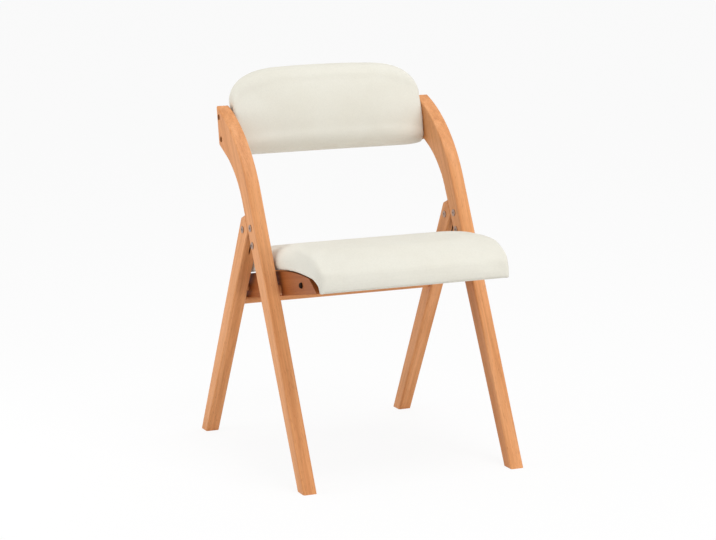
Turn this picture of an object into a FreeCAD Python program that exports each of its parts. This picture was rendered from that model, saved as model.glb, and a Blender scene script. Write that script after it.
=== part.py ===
import FreeCAD, Part
import math
import os
import Sketcher
from FreeCAD import Placement, Rotation, Vector

# Padded wooden folding chair, open for use.
# Frame: +Z up, -Y to the front, X across, origin on the floor under the middle of the chair.
# Lengths in millimetres, angles in degrees.

doc = FreeCAD.newDocument("padded_folding_chair")

# Driving dimensions

SIZES = {
    # Legs: both pairs are cut from board of one thickness
    "overall_width": 474,
    "leg_thickness": 28,
    "leg_edge_round": 3.5,
    # Front legs, which bend back at the top to carry the backrest
    "front_foot_y": -276.95,
    "front_foot_depth": 32.5,
    "front_leg_front_rake": 26.75,
    "front_leg_back_rake": 27.95,
    # Each height is taken from the one below: hinge, back bend, front bend and leg end, back bolt
    "back_bend_height": 109,
    "back_bend_radius": 188,
    "front_bend_height": 77,
    "front_bend_radius": 300,
    "leg_end_bottom_height": 44,
    "leg_end_bottom_reach": 94.4,
    "leg_end_top_height": 77,
    "leg_end_top_reach": 14,
    # Rear legs, which swing about the hinge pivot
    "hinge_height": 465,
    "hinge_setback": 23.6,
    "rear_leg_front_rake": 27.4,
    "rear_leg_back_rake": 26.1,
    "rear_leg_front_depth": 21.9,
    "rear_leg_back_depth": 18.1,
    "rear_leg_stop_height": 31,
    "rear_leg_top_height": 23,
    "rear_leg_knuckle_round": 20,
    "stop_gap": 0.3,
    "fold_angle": 55,
    # Hinge plates let into saw slots, and their barrel bolts
    "plate_thickness": 3,
    "plate_margin": 11,
    "plate_upper_drop": 11.4,
    "plate_upper_inset": 17.4,
    "plate_lower_drop": 45.5,
    "plate_lower_inset": 11.4,
    "plate_slot_slack": 0.2,
    "plate_outline_slack": 0.3,
    "kerf_outline_slack": 1,
    "sleeve_diameter": 8,
    "sleeve_bore": 5,
    "sleeve_head_diameter": 14,
    "sleeve_head_height": 1.2,
    "sleeve_end_gap": 2,
    "recess_length": 7,
    "recess_width": 1.6,
    "recess_depth": 0.9,
    "hole_slack": 0.05,
    # Cross bars between the legs; the front bar's height is taken from the seat pivot
    "front_bar_diameter": 20,
    "front_bar_height": 26,
    "rear_bar_diameter": 18,
    "rear_bar_drop": 31,
    "tenon_diameter": 14,
    "tenon_length": 14,
    # Seat frame, hung on the rear legs and resting on the front bar
    "seat_pivot_height": 334,
    "seat_tilt": 11.72,
    "rail_thickness": 20,
    "rail_side_gap": 8,
    "rail_below_pivot": 21,
    "rail_above_pivot": 27.5,
    "rail_tail": 20.5,
    "rail_tail_round": 19.5,
    "rail_step_back": 90,
    "rail_step_front": 150,
    "rail_front": 352,
    "rail_front_slant": 30,
    "rail_front_blunt": 3,
    "notch_slack": 0.4,
    "notch_flare": 43,
    "cross_rail_thickness": 20,
    "front_rail_setback": 283,
    "front_rail_lift": 9,
    "shadow_gap": 2.5,
    "rear_rail_setback": 26,
    "rail_bolt_rise": -3,
    "rail_bolt_diameter": 6,
    "rail_bolt_length": 56,
    "rail_bolt_head_diameter": 10,
    "rail_bolt_head_height": 6,
    "counterbore_diameter": 12,
    "counterbore_depth": 9,
    "rail_bore_depth": 12,
    "barrel_nut_diameter": 10,
    "barrel_nut_length": 18,
    "barrel_nut_inset": 18,
    "dowel_diameter": 8,
    "dowel_length": 30,
    "dowel_depth_in_rail": 12,
    "dowel_spread": 20,
    "pivot_bolt_diameter": 8,
    "pivot_head_diameter": 16,
    "pivot_head_height": 4,
    "pivot_head_gap": 0.3,
    "pivot_insert_diameter": 12,
    "pivot_insert_length": 13,
    "pivot_spacer_diameter": 14,
    "pivot_spacer_gap": 0.2,
    # Seat panel and cushion, both bent down over the front rail
    "panel_rise": 30,
    "panel_thickness": 10,
    "panel_rear": 14,
    "seat_bend_setback": 165,
    "seat_bend_radius": 680,
    "seat_nose_setback": 336,
    "seat_nose_radius": 68,
    "seat_nose_turn": 28,
    "panel_screw_diameter": 4,
    "panel_screw_head_diameter": 8,
    "panel_screw_head_height": 3,
    "panel_screw_bite": 7,
    "panel_screw_inset": 61,
    "cushion_side_gap": 5.5,
    "cushion_wrap": 3.5,
    "cushion_height": 44.5,
    "cushion_rear": 8,
    "cushion_front": 378,
    "cushion_skirt_inset": 10,
    "cushion_corner": 18,
    "cushion_skirt_drop": 6,
    "cushion_edge_round": 16,
    "cushion_round_rear": -2,
    "cushion_clearance": 0.3,
    # Backrest, a padded board between the front legs
    "back_lean": 15.6,
    "back_bolt_reach": 12,
    "back_bolt_height": 13,
    "back_bolt_spacing": 44.6,
    "board_thickness": 12,
    "board_below_bolt": 26,
    "board_above_bolt": 128,
    "board_shoulder": 46,
    "board_top_inset": 69,
    "board_top_corner": 50,
    "back_bolt_diameter": 6,
    "back_bolt_length": 38,
    "back_bolt_head_diameter": 10,
    "back_bolt_head_height": 5,
    "back_insert_diameter": 9,
    "back_insert_length": 20,
    "pad_side_gap": 2,
    "pad_below_bolt": 36,
    "pad_above_bolt": 144,
    "pad_corner": 60,
    "pad_arch": 9,
    "pad_front_thickness": 24,
    "pad_rear_thickness": 12,
}

# Places worked out from the driving dimensions

PLACES = {
    "leg_x": "Sizes.overall_width / 2 - Sizes.leg_thickness / 2",
    "inner_x": "Sizes.overall_width / 2 - Sizes.leg_thickness",
    "rail_outer_x": "inner_x - Sizes.rail_side_gap",
    "rail_inner_x": "rail_outer_x - Sizes.rail_thickness",
    "front_foot_back_y": "Sizes.front_foot_y + Sizes.front_foot_depth",
    "back_bend_z": "Sizes.hinge_height + Sizes.back_bend_height",
    "back_bend_y": "front_foot_back_y + back_bend_z * tan(Sizes.front_leg_back_rake)",
    "front_bend_z": "back_bend_z + Sizes.front_bend_height",
    "front_bend_y": "Sizes.front_foot_y + front_bend_z * tan(Sizes.front_leg_front_rake)",
    "leg_end_bottom_y": "back_bend_y + Sizes.leg_end_bottom_reach",
    "leg_end_bottom_z": "back_bend_z + Sizes.leg_end_bottom_height",
    "leg_end_top_y": "leg_end_bottom_y + Sizes.leg_end_top_reach",
    "leg_end_top_z": "leg_end_bottom_z + Sizes.leg_end_top_height",
    "pivot_y": "front_foot_back_y + Sizes.hinge_height * tan(Sizes.front_leg_back_rake)"
               " + Sizes.hinge_setback / cos(Sizes.front_leg_back_rake)",
    "rear_foot_front_y": "pivot_y + Sizes.hinge_height * tan(Sizes.rear_leg_front_rake)"
                         " - Sizes.rear_leg_front_depth / cos(Sizes.rear_leg_front_rake)",
    "rear_foot_back_y": "pivot_y + Sizes.hinge_height * tan(Sizes.rear_leg_back_rake)"
                        " + Sizes.rear_leg_back_depth / cos(Sizes.rear_leg_back_rake)",
    "stop_foot_y": "front_foot_back_y + Sizes.stop_gap / cos(Sizes.front_leg_back_rake)",
    "stop_top_z": "Sizes.hinge_height + Sizes.rear_leg_stop_height",
    "stop_top_y": "stop_foot_y + stop_top_z * tan(Sizes.front_leg_back_rake)",
    "rear_top_z": "Sizes.hinge_height + Sizes.rear_leg_top_height",
    "rear_top_y": "rear_foot_back_y - rear_top_z * tan(Sizes.rear_leg_back_rake)",
    "knuckle_z": "(rear_foot_front_y - stop_foot_y)"
                 " / (tan(Sizes.rear_leg_front_rake) + tan(Sizes.front_leg_back_rake))",
    "knuckle_y": "stop_foot_y + knuckle_z * tan(Sizes.front_leg_back_rake)",
    "upper_reach": "Sizes.hinge_setback + Sizes.plate_upper_inset",
    "lower_reach": "Sizes.hinge_setback + Sizes.plate_lower_inset",
    "upper_y": "pivot_y - Sizes.plate_upper_drop * sin(Sizes.front_leg_back_rake)"
               " - upper_reach * cos(Sizes.front_leg_back_rake)",
    "upper_z": "Sizes.hinge_height - Sizes.plate_upper_drop * cos(Sizes.front_leg_back_rake)"
               " + upper_reach * sin(Sizes.front_leg_back_rake)",
    "lower_y": "pivot_y - Sizes.plate_lower_drop * sin(Sizes.front_leg_back_rake)"
               " - lower_reach * cos(Sizes.front_leg_back_rake)",
    "lower_z": "Sizes.hinge_height - Sizes.plate_lower_drop * cos(Sizes.front_leg_back_rake)"
               " + lower_reach * sin(Sizes.front_leg_back_rake)",
    "folded_y": "pivot_y + (lower_y - pivot_y) * cos(Sizes.fold_angle)"
                " - (lower_z - Sizes.hinge_height) * sin(Sizes.fold_angle)",
    "folded_z": "Sizes.hinge_height + (lower_y - pivot_y) * sin(Sizes.fold_angle)"
                " + (lower_z - Sizes.hinge_height) * cos(Sizes.fold_angle)",
    "bar_z": "Sizes.seat_pivot_height + Sizes.front_bar_height",
    "bar_y": "(Sizes.front_foot_y + front_foot_back_y"
             " + bar_z * (tan(Sizes.front_leg_front_rake)"
             " + tan(Sizes.front_leg_back_rake))) / 2",
    "seat_y": "(rear_foot_front_y + rear_foot_back_y"
              " - Sizes.seat_pivot_height * (tan(Sizes.rear_leg_front_rake)"
              " + tan(Sizes.rear_leg_back_rake))) / 2",
    "rear_leg_rake": "(Sizes.rear_leg_front_rake + Sizes.rear_leg_back_rake) / 2",
    "rear_bar_y": "seat_y + Sizes.rear_bar_drop * sin(rear_leg_rake)",
    "rear_bar_z": "Sizes.seat_pivot_height - Sizes.rear_bar_drop * cos(rear_leg_rake)",
    "notch_y": "(bar_y - seat_y) * cos(Sizes.seat_tilt)"
               " - Sizes.front_bar_height * sin(Sizes.seat_tilt)",
    "notch_z": "(bar_y - seat_y) * sin(Sizes.seat_tilt)"
               " + Sizes.front_bar_height * cos(Sizes.seat_tilt)",
    "notch_half": "Sizes.front_bar_diameter / 2 + Sizes.notch_slack",
    "back_bolt_y": "leg_end_bottom_y - Sizes.back_bolt_reach",
    "back_bolt_z": "leg_end_bottom_z + Sizes.back_bolt_height",
    "upper_bolt_y": "back_bolt_y + Sizes.back_bolt_spacing * sin(Sizes.back_lean)",
    "upper_bolt_z": "back_bolt_z + Sizes.back_bolt_spacing * cos(Sizes.back_lean)",
    "panel_screw_spread": "rail_inner_x - Sizes.panel_screw_inset",
    "pad_half_width": "inner_x - Sizes.pad_side_gap",
    "board_top_half": "inner_x - Sizes.board_top_inset",
    "cushion_half_width": "inner_x - Sizes.cushion_side_gap",
    "panel_half_width": "cushion_half_width - Sizes.cushion_wrap",
    "panel_front": "Sizes.cushion_front - Sizes.cushion_wrap",
    "panel_corner": "Sizes.cushion_corner - Sizes.cushion_wrap",
}

sizes_sheet = doc.addObject("Spreadsheet::Sheet", "Sizes")
places_sheet = doc.addObject("Spreadsheet::Sheet", "Places")


def fill_sheet(sheet, entries, prefix):
    for row, (alias, content) in enumerate(entries.items(), start=1):
        sheet.set("A%d" % row, alias)
        sheet.set("B%d" % row, prefix + str(content))
        sheet.setAlias("B%d" % row, alias)
    doc.recompute()


fill_sheet(sizes_sheet, SIZES, "")
fill_sheet(places_sheet, PLACES, "=")


def value(expression):
    """The number that an expression on the two sheets gives."""
    result = sizes_sheet.evalExpression(str(expression))
    return float(getattr(result, "Value", result))


# Helpers for features whose sizes follow the sheets

ALONG_X = Rotation(Vector(0, 1, 0), 90)
SIDES = {"left": -1, "right": 1}


def bind(feature, **expressions):
    for name, expression in expressions.items():
        feature.setExpression(name, str(expression))


def place(feature, x=0, y=0, z=0):
    """Bind the three coordinates of a feature's position."""
    for axis, expression in zip("xyz", (x, y, z)):
        feature.setExpression("Placement.Base." + axis, str(expression))


def seat_point(along, up):
    """Y and Z of a point of the seat frame: along it, rearwards of the pivot, and square to it."""
    y = "Places.seat_y + ({0}) * cos(Sizes.seat_tilt) + ({1}) * sin(Sizes.seat_tilt)"
    z = "Sizes.seat_pivot_height - ({0}) * sin(Sizes.seat_tilt) + ({1}) * cos(Sizes.seat_tilt)"
    return y.format(along, up), z.format(along, up)


def tilt_to_seat(feature, x=0, along=0, up=0):
    """Lay a feature in the seat frame, which rises to the front."""
    feature.Placement = Placement(Vector(), Rotation(Vector(-1, 0, 0), value("Sizes.seat_tilt")))
    feature.setExpression("Placement.Rotation.Angle", "Sizes.seat_tilt")
    place(feature, x, *seat_point(along, up))


def polygon_sketch(owner, name, corners, plane):
    """A closed polygon on one of a body's own planes, each corner bound to expressions."""
    sketch = owner.newObject("Sketcher::SketchObject", name)
    support = [feature for feature in owner.Origin.OriginFeatures if feature.Role == plane][0]
    sketch.AttachmentSupport = (support, [""])
    sketch.MapMode = "FlatFace"
    points = [Vector(value(across), value(up), 0) for across, up in corners]
    count = len(points)
    for index in range(count):
        sketch.addGeometry(Part.LineSegment(points[index], points[(index + 1) % count]), False)
    for index in range(count):
        sketch.addConstraint(Sketcher.Constraint("Coincident", index, 2, (index + 1) % count, 1))
    for index, corner in enumerate(corners):
        for kind, expression in zip(("DistanceX", "DistanceY"), corner):
            number = sketch.addConstraint(
                Sketcher.Constraint(kind, -1, 1, index, 1, value(expression)))
            sketch.setExpression("Constraints[%d]" % number, str(expression))
    return sketch


def padded_body(name, corners, thickness, plane="YZ_Plane"):
    """A board: a polygon padded equally to both sides of its plane."""
    body = doc.addObject("PartDesign::Body", name)
    pad = body.newObject("PartDesign::Pad", name + "_pad")
    pad.Profile = polygon_sketch(body, name + "_outline", corners, plane)
    pad.SideType = "Symmetric"
    bind(pad, Length=thickness)
    doc.recompute()
    return body


def round_edges(body, name, radius, wanted):
    """Fillet the edges of a body's tip that the test picks."""
    base = body.Tip
    edges = ["Edge%d" % number for number, edge in enumerate(base.Shape.Edges, start=1) if wanted(edge)]
    fillet = body.newObject("PartDesign::Fillet", name)
    fillet.Base = (base, edges)
    bind(fillet, Radius=radius)
    doc.recompute()
    return fillet


def across_at(y, z):
    """Test for the edge that runs across, along X, through one corner of a board."""
    corner = Vector(0, value(y), value(z))

    def wanted(edge):
        ends = [vertex.Point for vertex in edge.Vertexes]
        return len(ends) == 2 and all((Vector(0, p.y, p.z) - corner).Length < 0.01 for p in ends)
    return wanted


def on_sides(half_thickness, above):
    """Test for edges that outline a board's two side faces, apart from its foot's sole."""
    def wanted(edge):
        box = edge.BoundBox
        flat = box.XLength < 0.01 and abs(abs(box.XMin) - half_thickness) < 0.01
        return flat and box.ZMax > above
    return wanted


def cylinder(name, diameter, length, x, y, z):
    """A round bar along +X from the given point."""
    bar = doc.addObject("Part::Cylinder", name)
    bar.Placement = Placement(Vector(), ALONG_X)
    bind(bar, Radius="(%s) / 2" % diameter, Height=length)
    place(bar, x, y, z)
    return bar


def plate_outline(name, corners, margin, thickness, x):
    """A flat plate in the legs' middle plane: a triangle of holes with a round margin."""
    body = doc.addObject("PartDesign::Body", name + "_triangle")
    sketch = polygon_sketch(body, name + "_holes", corners, "YZ_Plane")
    outline = doc.addObject("Part::Offset2D", name + "_outline")
    outline.Source = sketch
    bind(outline, Value=margin)
    plate = doc.addObject("Part::Extrusion", name + "_plate")
    plate.Base = outline
    plate.DirMode = "Custom"
    plate.Dir = Vector(1, 0, 0)
    plate.Solid = True
    plate.Symmetric = True
    bind(plate, LengthFwd=thickness)
    place(plate, x)
    return plate


def joined(name, parts):
    fuse = doc.addObject("Part::MultiFuse", name)
    fuse.Shapes = parts
    return fuse


def cut_from(name, base, tools):
    """A piece less its holes and slots."""
    cut = doc.addObject("Part::Cut", name)
    cut.Base = base
    cut.Tool = tools[0] if len(tools) == 1 else joined(name + "_cuts", tools)
    return cut


def group(name, parts):
    """Like pieces that share one node, each its own solid."""
    compound = doc.addObject("Part::Compound", name)
    compound.Links = parts
    return compound


def mirrored(name, source):
    mirror = doc.addObject("Part::Mirroring", name)
    mirror.Source = source
    mirror.Normal = Vector(1, 0, 0)
    return mirror


def start_x(side, near, far):
    """The lower X of a span between two distances from the middle plane on one side."""
    return near if side > 0 else "-(%s)" % far


PIVOT = ("Places.pivot_y", "Sizes.hinge_height")
UPPER = ("Places.upper_y", "Places.upper_z")
LOWER = ("Places.lower_y", "Places.lower_z")
FOLDED = ("Places.folded_y", "Places.folded_z")
HOLE = "Sizes.sleeve_diameter + 2 * Sizes.hole_slack"
TENON_HOLE = "Sizes.tenon_diameter + 2 * Sizes.hole_slack"
BACK_BOLTS = (("Places.back_bolt_y", "Places.back_bolt_z"), ("Places.upper_bolt_y", "Places.upper_bolt_z"))
parts = {}

# Front legs

SLOT_THICKNESS = "Sizes.plate_thickness + 2 * Sizes.plate_slot_slack"


def front_leg():
    """The left front leg: raked, tapered to its foot, bent back to a tall end face."""
    corners = [
        ("Sizes.front_foot_y", "0"),
        ("Places.front_foot_back_y", "0"),
        ("Places.back_bend_y", "Places.back_bend_z"),
        ("Places.leg_end_bottom_y", "Places.leg_end_bottom_z"),
        ("Places.leg_end_top_y", "Places.leg_end_top_z"),
        ("Places.front_bend_y", "Places.front_bend_z"),
    ]
    body = padded_body("front_leg", corners, "Sizes.leg_thickness")
    round_edges(body, "front_leg_back_bend", "Sizes.back_bend_radius", across_at(*corners[2]))
    round_edges(body, "front_leg_front_bend", "Sizes.front_bend_radius", across_at(*corners[5]))
    round_edges(body, "front_leg_edges", "Sizes.leg_edge_round", on_sides(value("Sizes.leg_thickness") / 2, 0.1))
    place(body, "-Places.leg_x")
    tools = [plate_outline("front_slot", (PIVOT, UPPER, LOWER), "Sizes.plate_margin + Sizes.plate_outline_slack",
                           SLOT_THICKNESS, "-Places.leg_x")]
    for number, (y, z) in enumerate((UPPER, LOWER)):
        tools.append(cylinder("front_leg_hole_%d" % number, HOLE, "Sizes.leg_thickness",
                              "-Sizes.overall_width / 2", y, z))
    tools.append(cylinder("front_tenon_hole", TENON_HOLE, "Sizes.tenon_length + Sizes.hole_slack",
                          "-Places.inner_x - Sizes.tenon_length - Sizes.hole_slack",
                          "Places.bar_y", "Places.bar_z"))
    for number, (y, z) in enumerate(BACK_BOLTS):
        tools.append(cylinder("back_bolt_hole_%d" % number, "Sizes.back_bolt_diameter + 2 * Sizes.hole_slack",
                              "Sizes.leg_thickness", "-Sizes.overall_width / 2", y, z))
        tools.append(cylinder("back_bolt_bore_%d" % number, "Sizes.counterbore_diameter", "Sizes.counterbore_depth",
                              "-Sizes.overall_width / 2", y, z))
    return cut_from("front_leg_left", body, tools)


parts["front_leg_left"] = front_leg()
parts["front_leg_right"] = mirrored("front_leg_right", parts["front_leg_left"])

# Rear legs


def rear_leg():
    """The left rear leg: tapered, with a stop face on the front leg and a slotted knuckle."""
    corners = [
        ("Places.rear_foot_front_y", "0"),
        ("Places.rear_foot_back_y", "0"),
        ("Places.rear_top_y", "Places.rear_top_z"),
        ("Places.stop_top_y", "Places.stop_top_z"),
        ("Places.knuckle_y", "Places.knuckle_z"),
    ]
    body = padded_body("rear_leg", corners, "Sizes.leg_thickness")
    round_edges(body, "rear_leg_knuckle", "Sizes.rear_leg_knuckle_round", across_at(*corners[4]))
    round_edges(body, "rear_leg_edges", "Sizes.leg_edge_round", on_sides(value("Sizes.leg_thickness") / 2, 0.1))
    place(body, "-Places.leg_x")
    tools = [plate_outline("rear_slot", (PIVOT, UPPER, FOLDED), "Sizes.plate_margin + Sizes.kerf_outline_slack",
                           SLOT_THICKNESS, "-Places.leg_x")]
    tools.append(cylinder("rear_leg_hole", HOLE, "Sizes.leg_thickness", "-Sizes.overall_width / 2", *PIVOT))
    tools.append(cylinder("rear_tenon_hole", TENON_HOLE, "Sizes.tenon_length + Sizes.hole_slack",
                          "-Places.inner_x - Sizes.tenon_length - Sizes.hole_slack",
                          "Places.rear_bar_y", "Places.rear_bar_z"))
    tools.append(cylinder("insert_hole", "Sizes.pivot_insert_diameter", "Sizes.pivot_insert_length",
                          "-Places.inner_x - Sizes.pivot_insert_length", "Places.seat_y", "Sizes.seat_pivot_height"))
    return cut_from("rear_leg_left", body, tools)


parts["rear_leg_left"] = rear_leg()
parts["rear_leg_right"] = mirrored("rear_leg_right", parts["rear_leg_left"])

# Cross bars


def cross_bar(name, diameter, y, z):
    """A turned bar between a pair of legs, with a thinner tenon in each."""
    shaft = cylinder(name + "_shaft", diameter, "2 * Places.inner_x", "-Places.inner_x", y, z)
    tenons = cylinder(name + "_tenons", "Sizes.tenon_diameter", "2 * (Places.inner_x + Sizes.tenon_length)",
                      "-Places.inner_x - Sizes.tenon_length", y, z)
    return joined(name, [shaft, tenons])


parts["front_crossbar"] = cross_bar("front_crossbar", "Sizes.front_bar_diameter", "Places.bar_y",
                                    "Places.bar_z")
parts["rear_crossbar"] = cross_bar("rear_crossbar", "Sizes.rear_bar_diameter", "Places.rear_bar_y",
                                   "Places.rear_bar_z")

# Hinge plates and barrel bolts


def hinge_plate(name, x):
    plate = plate_outline(name, (PIVOT, UPPER, LOWER), "Sizes.plate_margin", "Sizes.plate_thickness", x)
    holes = [cylinder("%s_hole_%d" % (name, number), HOLE, "Sizes.leg_thickness",
                      "(%s) - Sizes.leg_thickness / 2" % x, y, z)
             for number, (y, z) in enumerate((PIVOT, UPPER, LOWER))]
    return cut_from(name, plate, holes)


def cross_recess(name, x, y, z):
    """The two crossed slots of a driver recess, from the given X outwards."""
    slots = []
    for number, (wide, tall) in enumerate((("recess_length", "recess_width"), ("recess_width", "recess_length"))):
        slot = doc.addObject("Part::Box", "%s_slot_%d" % (name, number))
        bind(slot, Length="Sizes.recess_depth", Width="Sizes." + wide, Height="Sizes." + tall)
        place(slot, x, "%s - Sizes.%s / 2" % (y, wide), "%s - Sizes.%s / 2" % (z, tall))
        slots.append(slot)
    return slots


def barrel_bolt(name, side, y, z):
    """A sleeve nut headed on the inner face and the screw that meets it from the outer face."""
    head = "Sizes.sleeve_head_height"
    inner, outer = "Places.inner_x", "Sizes.overall_width / 2"
    length = "Sizes.leg_thickness - Sizes.sleeve_end_gap"
    sleeve = joined(name + "_sleeve_blank", [
        cylinder(name + "_barrel", "Sizes.sleeve_diameter", length,
                 start_x(side, inner, "%s + %s" % (inner, length)), y, z),
        cylinder(name + "_sleeve_head", "Sizes.sleeve_head_diameter", head,
                 start_x(side, "%s - %s" % (inner, head), inner), y, z)])
    bore = cylinder(name + "_bore", "Sizes.sleeve_bore", length,
                    start_x(side, "%s + %s" % (inner, head), "%s + %s + %s" % (inner, head, length)), y, z)
    screw = joined(name + "_screw", [
        cylinder(name + "_shank", "Sizes.sleeve_bore", "Sizes.leg_thickness - %s" % head,
                 start_x(side, "%s + %s" % (inner, head), outer), y, z),
        cylinder(name + "_screw_head", "Sizes.sleeve_head_diameter", head,
                 start_x(side, outer, "%s + %s" % (outer, head)), y, z)])
    deep = "Sizes.recess_depth"
    inner_slots = cross_recess(name + "_inner", start_x(side, "%s - %s" % (inner, head),
                                                        "%s - %s + %s" % (inner, head, deep)), y, z)
    outer_slots = cross_recess(name + "_outer", start_x(side, "%s + %s - %s" % (outer, head, deep),
                                                        "%s + %s" % (outer, head)), y, z)
    return (cut_from(name + "_sleeve", sleeve, [bore] + inner_slots),
            cut_from(name + "_slotted_screw", screw, outer_slots))


for word, sign in SIDES.items():
    plate_name = "hinge_plate_" + word
    parts[plate_name] = hinge_plate(plate_name, "%d * Places.leg_x" % sign)

pivot_bolts = [barrel_bolt("pivot_" + word, sign, *PIVOT) for word, sign in SIDES.items()]
plate_bolts = [barrel_bolt("plate_%s_%s" % (word, level), sign, *spot)
               for word, sign in SIDES.items() for level, spot in (("upper", UPPER), ("lower", LOWER))]
parts["hinge_pivot_sleeves"] = group("hinge_pivot_sleeves", [sleeve for sleeve, screw in pivot_bolts])
parts["hinge_pivot_screws"] = group("hinge_pivot_screws", [screw for sleeve, screw in pivot_bolts])
parts["hinge_plate_sleeves"] = group("hinge_plate_sleeves", [sleeve for sleeve, screw in plate_bolts])
parts["hinge_plate_screws"] = group("hinge_plate_screws", [screw for sleeve, screw in plate_bolts])

# Seat panel, bent over the front rail
# The panel's underside is a straight stretch, a long shallow bend and a short nose.


def seat_curve(offset, x):
    """Edges of a line that runs at one distance above the panel's underside, rear to front."""
    rise = value("Sizes.panel_rise")
    bend_y = -value("Sizes.seat_bend_setback")
    bend_radius = value("Sizes.seat_bend_radius")
    nose_radius = value("Sizes.seat_nose_radius")
    bend_turn = math.asin((value("Sizes.seat_nose_setback") + bend_y) / bend_radius)
    nose_turn = bend_turn + math.radians(value("Sizes.seat_nose_turn"))
    bend_centre = Vector(x, bend_y, rise - bend_radius)
    step = bend_radius - nose_radius
    nose_centre = bend_centre + Vector(0, -math.sin(bend_turn), math.cos(bend_turn)) * step

    def on_arc(centre, radius, turn):
        return centre + Vector(0, -math.sin(turn), math.cos(turn)) * (radius + offset)

    def arc(centre, radius, first, last):
        turns = (first, (first + last) / 2, last)
        return Part.Arc(*[on_arc(centre, radius, turn) for turn in turns]).toShape()

    rear = Vector(x, -value("Sizes.panel_rear"), rise + offset)
    straight = Part.LineSegment(rear, on_arc(bend_centre, bend_radius, 0)).toShape()
    bend = arc(bend_centre, bend_radius, 0, bend_turn)
    nose = arc(nose_centre, nose_radius, bend_turn, nose_turn)
    return [straight, bend, nose]


def seat_slab(low, high, half_width):
    """A bent slab between two distances above the panel's underside."""
    lower, upper = seat_curve(low, -half_width), seat_curve(high, -half_width)
    front = Part.LineSegment(lower[-1].Vertexes[-1].Point, upper[-1].Vertexes[-1].Point).toShape()
    rear = Part.LineSegment(lower[0].Vertexes[0].Point, upper[0].Vertexes[0].Point).toShape()
    wire = Part.Wire(Part.__sortEdges__(lower + [front] + upper + [rear]))
    return Part.Face(wire).extrude(Vector(2 * half_width, 0, 0))


def seat_feature(name, shape):
    feature = doc.addObject("Part::Feature", name)
    feature.Shape = shape
    tilt_to_seat(feature)
    return feature


def three_point_arc(first, middle, last):
    return Part.Arc(first, middle, last).toShape()


def rounded_plan(half_width, rear, front, corner, levels):
    """An upright form over the seat with round front corners, drawn in at each level by an inset."""
    cut = 1 - math.sqrt(0.5)

    def outline(height, inset):
        side, back, nose, turn = half_width - inset, inset - rear, front - inset, corner

        def at(x, y):
            return Vector(x, y, height)

        def line(first, last):
            return Part.LineSegment(at(*first), at(*last)).toShape()

        def bow(first, middle, last):
            return three_point_arc(at(*first), at(*middle), at(*last))

        return Part.Wire([
            line((side, -back), (-side, -back)),
            line((-side, -back), (-side, turn - nose)),
            bow((-side, turn - nose), (turn * cut - side, turn * cut - nose), (turn - side, -nose)),
            line((turn - side, -nose), (side - turn, -nose)),
            bow((side - turn, -nose), (side - turn * cut, turn * cut - nose), (side, turn - nose)),
            line((side, turn - nose), (side, -back)),
        ])

    return Part.makeLoft([outline(height, inset) for height, inset in levels], True, True)


def panel_plan(margin):
    """The panel's outline, with round front corners, grown by a margin."""
    deep = 4 * value("Sizes.cushion_height")
    return rounded_plan(value("Places.panel_half_width") + margin, margin - value("Sizes.panel_rear"),
                        value("Places.panel_front") + margin, value("Places.panel_corner") + margin,
                        ((-deep, 0), (deep, 0)))


HALF_WIDTH = value("Sizes.overall_width") / 2
ROOM_ABOVE = 4 * value("Sizes.cushion_height")
seat_room = seat_feature("seat_room", seat_slab(0, ROOM_ABOVE, HALF_WIDTH))
rail_room = seat_feature("rail_room", seat_slab(-value("Sizes.shadow_gap"), ROOM_ABOVE, HALF_WIDTH))
panel_blank = seat_feature("panel_blank", seat_slab(
    0, value("Sizes.panel_thickness"), HALF_WIDTH).common(panel_plan(0)))

# Seat rails

RAIL_X = "(Places.rail_outer_x + Places.rail_inner_x) / 2"
INNER_WIDTH = "2 * Places.rail_inner_x"
RAIL_BOLT = seat_point("-Sizes.front_rail_setback", "Sizes.rail_bolt_rise")
DOWELS = [seat_point("-Sizes.rear_rail_setback", "%s * Sizes.dowel_spread / 2" % way) for way in ("-1", "1")]


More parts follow.
